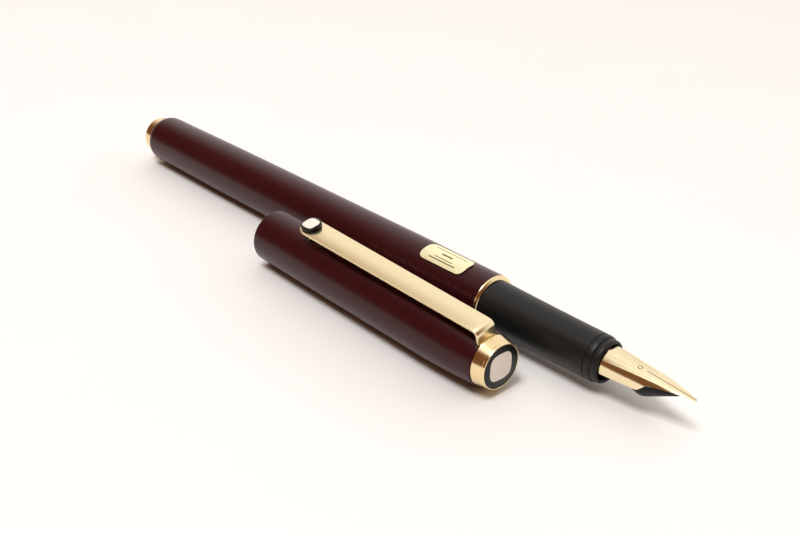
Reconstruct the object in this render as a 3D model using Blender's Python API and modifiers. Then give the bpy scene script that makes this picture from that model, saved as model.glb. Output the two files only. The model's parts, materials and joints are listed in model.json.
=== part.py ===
"""Cartridge and converter fountain pen, uncapped, with its cap lying beside it.

Units are metres and +Z is up. The pen lies along X with its nib towards +X. Lengths along
the pen are measured from the back face of the barrel, lengths along the cap from its mouth.
"""
from math import atan2, cos, pi, radians, sin

import bmesh
import bpy
from mathutils import Matrix, Vector

MM = 0.001
COLLECTION_NAME = "fountain_pen"

# ---- driving dimensions --------------------------------------------------------------------
FIT_GAP = 0.06 * MM              # between two pieces that are fixed together
RUNNING_GAP = 0.10 * MM          # between two pieces that turn or slide on each other
OUTER_STEPS = 32                 # facets round the outside pieces
INNER_STEPS = 24                 # facets round the pieces inside

# barrel
BARREL_LENGTH = 89.15 * MM       # lacquered tube
BARREL_END_RADIUS = 4.43 * MM    # at the mouth, and where the back starts to round
BARREL_BELLY_RADIUS = 4.55 * MM  # the slightly fuller middle
BARREL_WALL = 0.46 * MM          # at the mouth
BARREL_BACK_ROUND = 1.5 * MM     # length of the rounded back end
BARREL_BACK_WALL = 1.8 * MM
BARREL_BACK_EDGE = 0.1 * MM      # how far the back's rim stands out from the end cap
END_CAP_RADIUS = 3.55 * MM
END_CAP_LENGTH = 2.35 * MM
END_CAP_BOSS_RADIUS = 1.4 * MM
END_SCREW_RADIUS = 0.8 * MM
END_SCREW_HEAD_RADIUS = 2.2 * MM
END_SCREW_HEAD_LENGTH = 1.1 * MM
END_SCREW_HOLE_START = 0.8 * MM  # from the cap's outer face
TRIM_RING_LENGTH = 0.5 * MM
TRIM_RING_FRONT_RADIUS = 4.12 * MM
LABEL_LENGTH = 9.1 * MM
LABEL_WIDTH = 3.8 * MM
LABEL_CORNER = 1.1 * MM
LABEL_THICKNESS = 0.07 * MM
LABEL_TO_MOUTH = 8.75 * MM       # middle of the label to the barrel's mouth
LABEL_ROLL = radians(10)

# thread between barrel and section, as plain ridges
THREAD_LENGTH = 6.6 * MM
THREAD_RADIUS = 3.5 * MM
THREAD_DEPTH = 0.12 * MM
THREAD_PITCH = 1.1 * MM
THREAD_TO_MOUTH = 0.9 * MM
COLLAR_WALL = 0.22 * MM          # of the threaded collar, under its ridges
TENON_WALL = 0.5 * MM            # of the section, under the collar

# section, or grip
SECTION_LENGTH = 20.35 * MM      # from the trim ring to the front groove
SECTION_BACK_RADIUS = 3.82 * MM
SECTION_MIDDLE_RADIUS = 3.60 * MM
SECTION_FRONT_RADIUS = 3.47 * MM
SECTION_TAPER_BREAK = 10.0 * MM  # where the taper eases, from the trim ring
SECTION_BEAD_LENGTH = 0.95 * MM  # rounded end in front of a fine groove
SECTION_BEAD_DROP = 0.2 * MM
SECTION_GROOVE_DEPTH = 0.1 * MM
SECTION_GROOVE_WIDTH = 0.2 * MM
TENON_LENGTH = 8.2 * MM          # the part of the section inside the barrel
WEB_THICKNESS = 2.0 * MM         # wall between the converter bore and the nib bore
WEB_TO_RING = 4.0 * MM

# nib unit
HOUSING_RADIUS = 2.95 * MM
HOUSING_LIP_RADIUS = 3.2 * MM
HOUSING_LIP_LENGTH = 1.0 * MM
HOUSING_LIP_ROUND = 0.45 * MM
HOUSING_MOUTH_FLARE = 0.12 * MM   # the bore widens at the lip
NIB_RADIUS = 2.6 * MM            # of the nib's outer face, where it leaves the housing
NIB_TIP_RADIUS = 1.3 * MM        # height of the point over the pen's axis
NIB_THICKNESS = 0.25 * MM
NIB_EXPOSED = 13.85 * MM
NIB_HIDDEN = 8.8 * MM
NIB_WING_LENGTH = 5.65 * MM      # how far the wrapped sides run from the housing
NIB_WING_ANGLE = radians(86)
NIB_SHOULDER_LENGTH = 2.0 * MM   # over which the wings narrow to the tines
NIB_SHOULDER_ANGLE = radians(50)
NIB_ROLL = radians(15)           # the pen has rolled a little towards its cap
FEED_DEPTH = 1.76 * MM
FEED_KEEL_DEPTH = 2.75 * MM
FEED_KEEL_RAMP = 1.8 * MM
FEED_KEEL_PLACE = 5.7 * MM       # deepest point, from the housing's lip
FEED_RISE = 3.35 * MM            # from the keel up to the feed's front
FEED_TO_TIP = 2.5 * MM
NIPPLE_RADIUS = 1.2 * MM
NIPPLE_BORE = 0.5 * MM
NIPPLE_LENGTH = 7.0 * MM         # behind the web
NIPPLE_FLANGE = 0.8 * MM

# converter
CONVERTER_RADIUS = 3.1 * MM
SOCKET_COLLAR_LENGTH = 3.6 * MM
RESERVOIR_LENGTH = 30.0 * MM
RESERVOIR_WALL = 0.5 * MM
SLEEVE_LENGTH = 13.0 * MM
SLEEVE_WALL = 0.18 * MM
SLEEVE_OVERLAP = 3.0 * MM
KNOB_RADIUS = 3.0 * MM
KNOB_LENGTH = 15.8 * MM
KNOB_END_WALL = 2.0 * MM
LEAD_SCREW_RADIUS = 0.7 * MM
ROD_RADIUS = 1.5 * MM
ROD_FRONT_WALL = 1.4 * MM
ROD_TO_KNOB_END = 2.0 * MM
SCREW_TO_ROD_END = 0.5 * MM
SEAL_LENGTH = 3.5 * MM
SEAL_TO_RESERVOIR_BACK = 1.0 * MM
PISTON_TRAVEL = 22.0 * MM

# cap
CAP_LENGTH = 50.05 * MM          # lacquered tube
CAP_MOUTH_RADIUS = 4.45 * MM
CAP_RADIUS = 4.55 * MM
CAP_WALL = 0.46 * MM
CAP_CROWN_END_RADIUS = 4.06 * MM  # where the crown end starts to round
CAP_END_ROUND = 0.4 * MM
CAP_END_WALL = 1.8 * MM
CAP_EDGE = 0.3 * MM
LINER_START = 13.0 * MM
LINER_WALL = 0.4 * MM
LINER_END_WALL = 1.0 * MM
CLUTCH_START = 6.0 * MM
CLUTCH_LENGTH = 5.0 * MM
CLUTCH_WALL = 0.2 * MM
CROWN_RADIUS = 3.48 * MM         # at its rim
CROWN_BACK_RADIUS = 3.88 * MM    # against the cap tube
CROWN_LENGTH = 2.1 * MM
CROWN_RIM = 0.18 * MM
CROWN_FLOOR = 0.6 * MM
CROWN_RECESS = 0.05 * MM         # of the disc below the rim
BOLT_RADIUS = 1.1 * MM
BOLT_HEAD_RADIUS = 2.0 * MM
BOLT_HEAD_LENGTH = 0.35 * MM
NUT_RADIUS = 2.6 * MM
WASHER_RADIUS = 3.4 * MM
NUT_LENGTH = 1.3 * MM
WASHER_THICKNESS = 0.3 * MM
DISC_THICKNESS = 0.5 * MM
INLAY_THICKNESS = 0.2 * MM
INLAY_RADIUS = 2.1 * MM
INLAY_SQUARENESS = 3.2           # exponent of the inlay's pillow outline

# clip
CLIP_ROLL = radians(11)           # the cap has rolled a little away from the pen
CLIP_START = 10.15 * MM          # its free end, from the cap's mouth
CLIP_ROOT_HEIGHT = 5.95 * MM     # outer face over the cap's axis
CLIP_TIP_HEIGHT = 6.68 * MM
CLIP_ROOT_WIDTH = 3.35 * MM
CLIP_TIP_WIDTH = 3.8 * MM
CLIP_THICKNESS = 0.45 * MM
CLIP_BEND = 1.0 * MM             # radius of the bend at its root
CLIP_ROOT_DEPTH = 3.3 * MM       # how near the axis its root tab reaches
BUTTON_RADIUS = 1.65 * MM
BUTTON_THICKNESS = 0.6 * MM
BUTTON_INLAY_RADIUS = 1.25 * MM
BUTTON_STEM_RADIUS = 0.5 * MM
PAD_RADIUS = 1.1 * MM

# where the cap lies
CAP_HEADING = radians(-1.43)
CAP_MOUTH_OFFSET = (52.0 * MM, -10.32 * MM)   # from the barrel's back face and the pen's axis

# ---- dependent dimensions ------------------------------------------------------------------
barrelBack = END_CAP_LENGTH + FIT_GAP
barrelMouth = barrelBack + BARREL_LENGTH
barrelBore = BARREL_END_RADIUS - BARREL_WALL
ringFront = barrelMouth + FIT_GAP + TRIM_RING_LENGTH
sectionBack = ringFront + FIT_GAP
sectionFront = sectionBack + SECTION_LENGTH
tenonBack = sectionBack - TENON_LENGTH
nibBore = HOUSING_RADIUS + FIT_GAP
webBack = sectionBack + WEB_TO_RING
webFront = webBack + WEB_THICKNESS
threadFront = barrelMouth - THREAD_TO_MOUTH
threadBack = threadFront - THREAD_LENGTH
threadRoot = THREAD_RADIUS - THREAD_DEPTH
tenonRadius = threadRoot - COLLAR_WALL - FIT_GAP
converterBore = tenonRadius - TENON_WALL
lipBack = sectionFront + FIT_GAP
lipFront = lipBack + HOUSING_LIP_LENGTH
housingBore = NIB_RADIUS + FIT_GAP
nibTip = lipFront + NIB_EXPOSED
nippleBack = webBack - NIPPLE_LENGTH
nippleFront = webFront + FIT_GAP + NIPPLE_FLANGE
housingBack = nippleFront + 2 * FIT_GAP
feedKeel = lipFront + FEED_KEEL_PLACE
feedFront = nibTip - FEED_TO_TIP

socketFront = webBack - 4 * FIT_GAP
socketNose = converterBore - RUNNING_GAP
socketCollarFront = min(tenonBack, threadBack) - RUNNING_GAP
socketCollarBack = socketCollarFront - SOCKET_COLLAR_LENGTH
reservoirBore = CONVERTER_RADIUS - RESERVOIR_WALL
reservoirFront = socketCollarBack - FIT_GAP
reservoirBack = reservoirFront - RESERVOIR_LENGTH
sleeveFront = reservoirBack + SLEEVE_OVERLAP
sleeveBack = sleeveFront - SLEEVE_LENGTH
sleeveBore = CONVERTER_RADIUS + FIT_GAP
knobFront = sleeveBack - RUNNING_GAP
knobBack = knobFront - KNOB_LENGTH
knobBoreEnd = knobBack + KNOB_END_WALL
pistonBack = reservoirBack + SEAL_TO_RESERVOIR_BACK
pistonFront = pistonBack + SEAL_LENGTH
rodBore = LEAD_SCREW_RADIUS + RUNNING_GAP
rodBack = knobBoreEnd + ROD_TO_KNOB_END
rodBoreFront = pistonFront - ROD_FRONT_WALL
screwFront = rodBoreFront - SCREW_TO_ROD_END

capBore = CAP_RADIUS - CAP_WALL
linerOuter = capBore - FIT_GAP
linerInner = linerOuter - LINER_WALL
crownBack = CAP_LENGTH + FIT_GAP
crownFront = crownBack + CROWN_LENGTH
crownFloor = crownBack + CROWN_FLOOR
capWallFront = CAP_LENGTH - CAP_END_WALL
washerFront = capWallFront - FIT_GAP
washerBack = washerFront - WASHER_THICKNESS
nutFront = washerBack - FIT_GAP
nutBack = nutFront - NUT_LENGTH
linerEnd = nutBack - 4 * FIT_GAP
boltHeadFront = crownFloor + FIT_GAP + BOLT_HEAD_LENGTH
discFront = crownFront - CROWN_RECESS
discRadius = CROWN_RADIUS - CROWN_RIM - FIT_GAP

clipTabFront = crownBack - FIT_GAP
notchBack = clipTabFront - CLIP_THICKNESS - RUNNING_GAP
buttonCentre = CLIP_START + CLIP_TIP_WIDTH / 2


# ---- scene and materials -------------------------------------------------------------------
def clear_scene():
    """Remove every object that is in the file."""
    for item in list(bpy.data.objects):
        bpy.data.objects.remove(item, do_unlink=True)


def make_collection(name):
    """Return a new collection, linked to the scene."""
    collection = bpy.data.collections.new(name)
    bpy.context.scene.collection.children.link(collection)
    return collection


def paint(item, colour, roughness, metallic=0.0):
    """Give a piece its own Principled material."""
    material = bpy.data.materials.new(item.name)
    material.use_nodes = True
    shader = material.node_tree.nodes["Principled BSDF"]
    shader.inputs["Base Color"].default_value = (*colour, 1.0)
    shader.inputs["Roughness"].default_value = roughness
    shader.inputs["Metallic"].default_value = metallic
    item.data.materials.clear()
    item.data.materials.append(material)


BURGUNDY = ((0.075, 0.010, 0.016), 0.38)
GOLD = ((0.83, 0.60, 0.28), 0.18, 1.0)
BLACK = ((0.012, 0.012, 0.012), 0.42)
GLOSS_BLACK = ((0.008, 0.008, 0.009), 0.15)
IVORY = ((0.78, 0.74, 0.67), 0.35)
STEEL = ((0.62, 0.62, 0.63), 0.25, 1.0)
BRASS = ((0.70, 0.50, 0.22), 0.30, 1.0)
CLEAR = ((0.80, 0.84, 0.86), 0.10)


# ---- shape helpers -------------------------------------------------------------------------
def add_empty(name, location, rotation, parent=None):
    """Add an empty whose Z axis is the axis of the pieces parented to it."""
    empty = bpy.data.objects.new(name, None)
    empty.empty_display_size = 0.004
    empty.location = location
    empty.rotation_euler = rotation
    empty.parent = parent
    bpy.context.scene.collection.objects.link(empty)
    return empty


def add_mesh(name, mesh, parent, collection, location=(0, 0, 0)):
    """Link a mesh object under its parent empty."""
    item = bpy.data.objects.new(name, mesh)
    item.parent = parent
    item.location = location
    collection.objects.link(item)
    return item


def turned(name, outline, parent, look, steps=OUTER_STEPS, location=(0, 0, 0)):
    """Turn an outline of (along, radius) points round the parent's Z axis.

    The outline starts at the front and runs back along the outer side. Unless both its
    ends are on the axis it is closed, through the bore.
    """
    mesh = bpy.data.meshes.new(name)
    count = len(outline)
    solid = outline[0][1] == 0 and outline[-1][1] == 0
    edges = [(i, i + 1) for i in range(count - 1)]
    if not solid:
        edges.append((count - 1, 0))
    mesh.from_pydata([(radius, 0, along) for along, radius in outline], edges, [])
    item = add_mesh(name, mesh, parent, partsCollection, location)
    screw = item.modifiers.new("Screw", "SCREW")
    screw.angle = 2 * pi
    screw.steps = steps
    screw.render_steps = steps
    screw.use_merge_vertices = True
    screw.merge_threshold = 0.000001
    screw.use_smooth_shade = True
    paint(item, *look)
    return item


def flat_solid(name, points, thickness, parent, matrix, collection):
    """Extrude a closed flat outline by its thickness, as a mesh object."""
    curve = bpy.data.curves.new(name, "CURVE")
    curve.dimensions = "2D"
    curve.fill_mode = "BOTH"
    curve.extrude = thickness / 2
    spline = curve.splines.new("POLY")
    spline.points.add(len(points) - 1)
    for point, (x, y) in zip(spline.points, points):
        point.co = (x, y, 0, 1)
    spline.use_cyclic_u = True
    flat = bpy.data.objects.new(name + "_outline", curve)
    partsCollection.objects.link(flat)
    flat.parent = parent
    flat.matrix_local = matrix
    graph = bpy.context.evaluated_depsgraph_get()
    mesh = bpy.data.meshes.new_from_object(flat.evaluated_get(graph))
    bpy.data.objects.remove(flat, do_unlink=True)
    bpy.data.curves.remove(curve)
    cage = bmesh.new()
    cage.from_mesh(mesh)
    bmesh.ops.remove_doubles(cage, verts=cage.verts, dist=0.000001)
    bmesh.ops.recalc_face_normals(cage, faces=cage.faces)
    cage.to_mesh(mesh)
    cage.free()
    item = add_mesh(name, mesh, parent, collection)
    item.matrix_local = matrix
    return item


def cylinder(name, radius, start, end, parent, collection, matrix=Matrix(), steps=INNER_STEPS):
    """A plain cylinder along the matrix's Z axis, from start to end."""
    mesh = bpy.data.meshes.new(name)
    cage = bmesh.new()
    place = Matrix.Translation((0, 0, (start + end) / 2))
    bmesh.ops.create_cone(cage, cap_ends=True, segments=steps, radius1=radius, radius2=radius,
                          depth=end - start, matrix=place)
    cage.to_mesh(mesh)
    cage.free()
    item = add_mesh(name, mesh, parent, collection)
    item.matrix_local = matrix
    return item


def combine(item, other, operation):
    """Add a Boolean modifier, and keep its second object as a hidden guide."""
    boolean = item.modifiers.new(other.name, "BOOLEAN")
    boolean.operation = operation
    boolean.solver = "EXACT"
    boolean.object = other
    other.hide_render = True
    other.display_type = "WIRE"


def loft(name, rings, parent, look, rotation=0.0):
    """Join closed rings of points into one solid with flat ends."""
    mesh = bpy.data.meshes.new(name)
    cage = bmesh.new()
    loops = [[cage.verts.new(point) for point in ring] for ring in rings]
    count = len(loops[0])
    for first, second in zip(loops, loops[1:]):
        for i in range(count):
            j = (i + 1) % count
            cage.faces.new((first[i], first[j], second[j], second[i]))
    cage.faces.new(list(reversed(loops[0])))
    cage.faces.new(loops[-1])
    bmesh.ops.recalc_face_normals(cage, faces=cage.faces)
    cage.to_mesh(mesh)
    cage.free()
    item = add_mesh(name, mesh, parent, partsCollection)
    item.rotation_euler = (0, 0, rotation)
    item.data.shade_smooth()
    item.data.set_sharp_from_angle(angle=radians(35))
    paint(item, *look)
    return item


def arc(centre, radius, start, end, count):
    """Points along an arc, in order, both ends included."""
    angles = [start + (end - start) * i / (count - 1) for i in range(count)]
    return [(centre[0] + radius * cos(a), centre[1] + radius * sin(a)) for a in angles]


def ridges(front, back, crest, root, pitch):
    """Outline points of plain thread ridges, from front to back."""
    count = int((front - back) / pitch)
    points = []
    for i in range(count):
        start = front - i * pitch
        points += [(start - 0.30 * pitch, root), (start - 0.45 * pitch, crest),
                   (start - 0.70 * pitch, crest), (start - 0.85 * pitch, root)]
    return points


def blend(amount):
    """Smooth step from 0 to 1."""
    amount = min(max(amount, 0.0), 1.0)
    return amount * amount * (3 - 2 * amount)


# ---- barrel --------------------------------------------------------------------------------
def round_back(along, radius, length, end_radius, count=5):
    """Points of a rounded end that closes from a radius to an end radius, front to back."""
    points = []
    for i in range(count):
        turn = pi / 2 * i / (count - 1)
        points.append((along + length * (1 - sin(turn)),
                       end_radius + (radius - end_radius) * cos(turn)))
    return points


def make_barrel(axis):
    """The lacquered tube with its bush, gilt end cap, end screw and foil label."""
    holeRadius = END_CAP_BOSS_RADIUS + FIT_GAP
    inside = barrelBack + BARREL_BACK_WALL
    outline = [(barrelMouth, BARREL_END_RADIUS)]
    outline.append((barrelBack + 0.78 * BARREL_LENGTH, BARREL_BELLY_RADIUS))
    outline.append((barrelBack + 0.26 * BARREL_LENGTH, BARREL_BELLY_RADIUS))
    outline += round_back(barrelBack, BARREL_END_RADIUS, BARREL_BACK_ROUND,
                          END_CAP_RADIUS + BARREL_BACK_EDGE)
    outline += [(barrelBack, holeRadius), (inside, holeRadius),
                (inside, barrelBore), (barrelMouth, barrelBore)]
    turned("barrel_tube", outline, axis, BURGUNDY)

    bushOuter = barrelBore - FIT_GAP
    crest = THREAD_RADIUS + RUNNING_GAP
    root = crest + THREAD_DEPTH
    inner = ridges(threadFront, threadBack, crest, root, THREAD_PITCH)
    outline = [(threadFront, bushOuter), (threadBack, bushOuter), (threadBack, root)]
    outline += list(reversed(inner)) + [(threadFront, root)]
    turned("barrel_thread_bush", outline, axis, BRASS)

    bossEnd = inside - FIT_GAP
    threadHole = END_SCREW_RADIUS + FIT_GAP
    edge = 0.15 * MM
    outline = [(bossEnd, END_CAP_BOSS_RADIUS), (END_CAP_LENGTH, END_CAP_BOSS_RADIUS),
               (END_CAP_LENGTH, END_CAP_RADIUS), (edge, END_CAP_RADIUS),
               (0, END_CAP_RADIUS - edge), (0, 0)]
    outline = [(END_SCREW_HOLE_START, 0), (END_SCREW_HOLE_START, threadHole),
               (bossEnd, threadHole)] + outline
    turned("barrel_end_cap", outline, axis, GOLD)

    headBack = inside + FIT_GAP
    headFront = headBack + END_SCREW_HEAD_LENGTH
    screwEnd = END_SCREW_HOLE_START + 2 * FIT_GAP
    outline = [(headFront, 0), (headFront, END_SCREW_HEAD_RADIUS),
               (headBack, END_SCREW_HEAD_RADIUS), (headBack, END_SCREW_RADIUS),
               (screwEnd, END_SCREW_RADIUS), (screwEnd, 0)]
    turned("barrel_end_screw", outline, axis, STEEL, INNER_STEPS)
    make_label(axis)


def make_label(axis):
    """A foil label: a band round the barrel, kept only inside a rounded rectangle."""
    centre = barrelMouth - LABEL_TO_MOUTH
    inner = BARREL_BELLY_RADIUS + 0.02 * MM
    outer = inner + LABEL_THICKNESS
    half = LABEL_LENGTH / 2 + 1 * MM
    outline = [(centre + half, outer), (centre - half, outer),
               (centre - half, inner), (centre + half, inner)]
    band = turned("barrel_label", outline, axis, GOLD, 96)
    points = rounded_rectangle(LABEL_LENGTH, LABEL_WIDTH, LABEL_CORNER)
    matrix = Matrix.Rotation(LABEL_ROLL, 4, "Z") @ plan_plane(BARREL_BELLY_RADIUS, centre)
    shape = flat_solid("label_shape", points, 2 * MM, axis, matrix, guideCollection)
    combine(band, shape, "INTERSECT")


def rounded_rectangle(length, width, corner):
    """Outline of a rectangle with round corners, about its middle."""
    x = length / 2 - corner
    y = width / 2 - corner
    points = []
    for i, (cx, cy) in enumerate([(x, y), (-x, y), (-x, -y), (x, -y)]):
        points += arc((cx, cy), corner, i * pi / 2, (i + 1) * pi / 2, 5)
    return points


def plan_plane(height, along=0.0):
    """A plane seen from above: its X runs along the piece and its Z points up."""
    columns = Matrix(((0, 0, -1, -height), (0, 1, 0, 0), (1, 0, 0, along), (0, 0, 0, 1)))
    return columns


def side_plane():
    """A plane seen from the side: its X runs along the piece and its Y points up."""
    return Matrix(((0, -1, 0, 0), (0, 0, -1, 0), (1, 0, 0, 0), (0, 0, 0, 1)))


def make_trim_ring(axis):
    """The gilt ring between barrel and section, with a skirt inside the barrel."""
    bore = THREAD_RADIUS + RUNNING_GAP
    skirt = barrelBore - RUNNING_GAP
    flangeBack = ringFront - TRIM_RING_LENGTH
    outline = [(ringFront, TRIM_RING_FRONT_RADIUS),
               (flangeBack + TRIM_RING_LENGTH / 5, BARREL_END_RADIUS),
               (flangeBack, BARREL_END_RADIUS),
               (flangeBack, skirt), (threadFront + RUNNING_GAP, skirt),
               (threadFront + RUNNING_GAP, bore), (ringFront, bore)]
    turned("barrel_trim_ring", outline, axis, GOLD)


# ---- section and nib -----------------------------------------------------------------------
def make_section(axis):
    """The black grip section with its threaded collar, nib housing and ink nipple."""
    middle = sectionBack + SECTION_TAPER_BREAK
    step = sectionFront - 3.4 * MM
    bead = sectionFront - SECTION_BEAD_LENGTH
    groove = bead - SECTION_GROOVE_WIDTH
    grooveFloor = SECTION_FRONT_RADIUS - SECTION_GROOVE_DEPTH
    nippleHole = NIPPLE_RADIUS + FIT_GAP
    outline = [(sectionFront, SECTION_FRONT_RADIUS - 1.5 * SECTION_BEAD_DROP),
               (sectionFront - SECTION_BEAD_LENGTH / 8, SECTION_FRONT_RADIUS - SECTION_BEAD_DROP),
               (sectionFront - SECTION_BEAD_LENGTH / 2,
                SECTION_FRONT_RADIUS - SECTION_BEAD_DROP / 3),
               (bead, SECTION_FRONT_RADIUS), (bead, grooveFloor), (groove, grooveFloor),
               (groove, SECTION_FRONT_RADIUS), (step, SECTION_FRONT_RADIUS + 0.02 * MM),
               (middle, SECTION_MIDDLE_RADIUS),
               (sectionBack, SECTION_BACK_RADIUS), (sectionBack, tenonRadius),
               (tenonBack, tenonRadius), (tenonBack, converterBore),
               (webBack, converterBore), (webBack, nippleHole), (webFront, nippleHole),
               (webFront, nibBore), (sectionFront, nibBore)]
    turned("grip_section", outline, axis, BLACK)

    inner = tenonRadius + FIT_GAP
    outline = [(threadFront, threadRoot)]
    outline += ridges(threadFront, threadBack, THREAD_RADIUS, threadRoot, THREAD_PITCH)
    outline += [(threadBack, threadRoot), (threadBack, inner), (threadFront, inner)]
    turned("section_thread_collar", outline, axis, BRASS)

    outline = [(lipFront, housingBore + HOUSING_MOUTH_FLARE)]
    lip = (lipFront - HOUSING_LIP_ROUND, HOUSING_LIP_RADIUS - HOUSING_LIP_ROUND)
    outline += arc(lip, HOUSING_LIP_ROUND, 0, pi / 2, 5)
    outline += [(lipBack, HOUSING_LIP_RADIUS), (lipBack, HOUSING_RADIUS),
                (housingBack, HOUSING_RADIUS), (housingBack, housingBore),
                (lipFront - 2 * HOUSING_MOUTH_FLARE, housingBore)]
    turned("nib_housing", outline, axis, BLACK)

    flangeBack = webFront + FIT_GAP
    outline = [(nippleFront, 2 * NIPPLE_RADIUS), (flangeBack, 2 * NIPPLE_RADIUS),
               (flangeBack, NIPPLE_RADIUS), (nippleBack + NIPPLE_BORE, NIPPLE_RADIUS),
               (nippleBack, 0.8 * NIPPLE_RADIUS), (nippleBack, NIPPLE_BORE),
               (nippleFront, NIPPLE_BORE)]
    turned("ink_nipple", outline, axis, BLACK, INNER_STEPS)


def nib_top(along):
    """Height of the nib's crest over the pen's axis."""
    share = min(max((along - lipFront) / NIB_EXPOSED, 0.0), 1.0)
    return NIB_RADIUS - (NIB_RADIUS - NIB_TIP_RADIUS) * share ** 1.3


def nib_angle(along):
    """Half of the angle that the nib wraps round the pen's axis."""
    wingEnd = lipFront + NIB_WING_LENGTH
    shoulder = wingEnd + NIB_SHOULDER_LENGTH
    tine = NIB_SHOULDER_ANGLE * (nibTip - along) / (nibTip - shoulder)
    tine = max(tine, 0.0) ** 0.7 * NIB_SHOULDER_ANGLE ** 0.3
    tine = min(tine, NIB_SHOULDER_ANGLE)
    share = blend((along - wingEnd) / (shoulder - wingEnd))
    return max(NIB_WING_ANGLE + (tine - NIB_WING_ANGLE) * share, radians(7))


def make_nib(axis):
    """The nib: a wrapped sheet whose sides run back into wings."""
    start = lipFront - NIB_HIDDEN
    tapered = [lipFront + NIB_EXPOSED * i / 16 for i in range(17)]
    across = 7
    mesh = bpy.data.meshes.new("nib")
    cage = bmesh.new()
    rows = []
    for along in [start] + tapered:
        turn = [nib_angle(along) * (2 * i / (across - 1) - 1) for i in range(across)]
        top = nib_top(along)
        rows.append([cage.verts.new((-top * cos(a), top * sin(a), along)) for a in turn])
    for first, second in zip(rows, rows[1:]):
        for i in range(across - 1):
            cage.faces.new((first[i], second[i], second[i + 1], first[i + 1]))
    bmesh.ops.recalc_face_normals(cage, faces=cage.faces)
    cage.faces.ensure_lookup_table()
    if cage.faces[0].normal.dot(cage.faces[0].calc_center_median()) < 0:
        bmesh.ops.reverse_faces(cage, faces=cage.faces)
    cage.to_mesh(mesh)
    cage.free()
    item = add_mesh("nib", mesh, axis, partsCollection)
    item.rotation_euler = (0, 0, NIB_ROLL)
    thicken = item.modifiers.new("Solidify", "SOLIDIFY")
    thicken.thickness = NIB_THICKNESS
    thicken.offset = -1
    thicken.use_even_offset = True
    item.data.shade_smooth()
    item.data.set_sharp_from_angle(angle=radians(35))
    paint(item, *GOLD)


def feed_depth(along):
    """How far the feed reaches below the pen's axis."""
    if along < feedKeel:
        rise = blend((along - feedKeel + FEED_KEEL_RAMP) / FEED_KEEL_RAMP)
        return FEED_DEPTH + (FEED_KEEL_DEPTH - FEED_DEPTH) * rise
    share = (along - feedKeel) / (feedFront - feedKeel)
    return FEED_KEEL_DEPTH - FEED_RISE * share ** 1.1


def make_feed(axis):
    """The feed that carries ink under the nib."""
    stations = [housingBack, lipFront, feedKeel - FEED_KEEL_RAMP, feedKeel - FEED_KEEL_RAMP / 2]
    stations += [feedKeel + (feedFront - feedKeel) * i / 5 for i in range(6)]
    clearance = NIB_THICKNESS + 2 * FIT_GAP
    rings = []
    for along in stations:
        top = nib_top(along) - clearance
        depth = feed_depth(along)
        half = (top + depth) / 2
        reach = min(nib_angle(along), pi / 2)
        side = min(top * 0.92, max(top * sin(reach) * 0.9, 0.1 * MM))
        ring = []
        for i in range(20):
            turn = 2 * pi * i / 20
            ring.append((-(top - half + half * cos(turn)), side * sin(turn), along))
        rings.append(ring)
    loft("feed", rings, axis, BLACK, NIB_ROLL)


# ---- converter -----------------------------------------------------------------------------
def make_converter(axis):
    """The fixed half of the converter: socket, clear reservoir, sleeve and rod guide."""
    socketBore = NIPPLE_RADIUS + RUNNING_GAP
    spigot = reservoirBore - FIT_GAP
    spigotBack = reservoirFront - 2.4 * MM
    outline = [(socketFront, socketNose - 0.2 * MM), (socketFront - 0.4 * MM, socketNose),
               (socketCollarFront, socketNose), (socketCollarFront, CONVERTER_RADIUS),
               (socketCollarBack, CONVERTER_RADIUS), (socketCollarBack, spigot),
               (spigotBack, spigot), (spigotBack, socketBore), (socketFront, socketBore)]
    turned("converter_socket", outline, axis, BLACK, INNER_STEPS)

    outline = [(reservoirFront, CONVERTER_RADIUS), (reservoirBack, CONVERTER_RADIUS),
               (reservoirBack, reservoirBore), (reservoirFront, reservoirBore)]
    turned("converter_reservoir", outline, axis, CLEAR, INNER_STEPS)

    sleeveOuter = sleeveBore + SLEEVE_WALL
    outline = [(sleeveFront, sleeveOuter), (sleeveBack, sleeveOuter),
               (sleeveBack, sleeveBore), (sleeveFront, sleeveBore)]
    turned("converter_sleeve", outline, axis, STEEL, INNER_STEPS)

    guideFront = reservoirBack - FIT_GAP
    guideBack = sleeveBack + 0.3 * MM
    guideBore = ROD_RADIUS + RUNNING_GAP
    outline = [(guideFront, CONVERTER_RADIUS), (guideBack, CONVERTER_RADIUS),
               (guideBack, guideBore), (guideFront, guideBore)]
    turned("converter_rod_guide", outline, axis, BLACK, INNER_STEPS)


def make_knob(axis):
    """The knob, with the lead screw fixed in its end wall."""
    knobBore = ROD_RADIUS + 3 * RUNNING_GAP
    hole = LEAD_SCREW_RADIUS + FIT_GAP
    edge = 0.3 * MM
    outline = [(knobFront, KNOB_RADIUS), (knobBack + edge, KNOB_RADIUS),
               (knobBack, KNOB_RADIUS - edge), (knobBack, hole), (knobBoreEnd, hole),
               (knobBoreEnd, knobBore), (knobFront, knobBore)]
    turned("converter_knob", outline, axis, BLACK, INNER_STEPS)

    root = LEAD_SCREW_RADIUS - 0.15 * MM
    outline = [(screwFront, 0), (screwFront, root)]
    outline += ridges(screwFront, knobBoreEnd + 1 * MM, LEAD_SCREW_RADIUS, root, 4.0 * MM)
    outline += [(knobBack + 0.5 * MM, root), (knobBack + 0.5 * MM, 0)]
    turned("converter_lead_screw", outline, axis, STEEL, 16)


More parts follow.
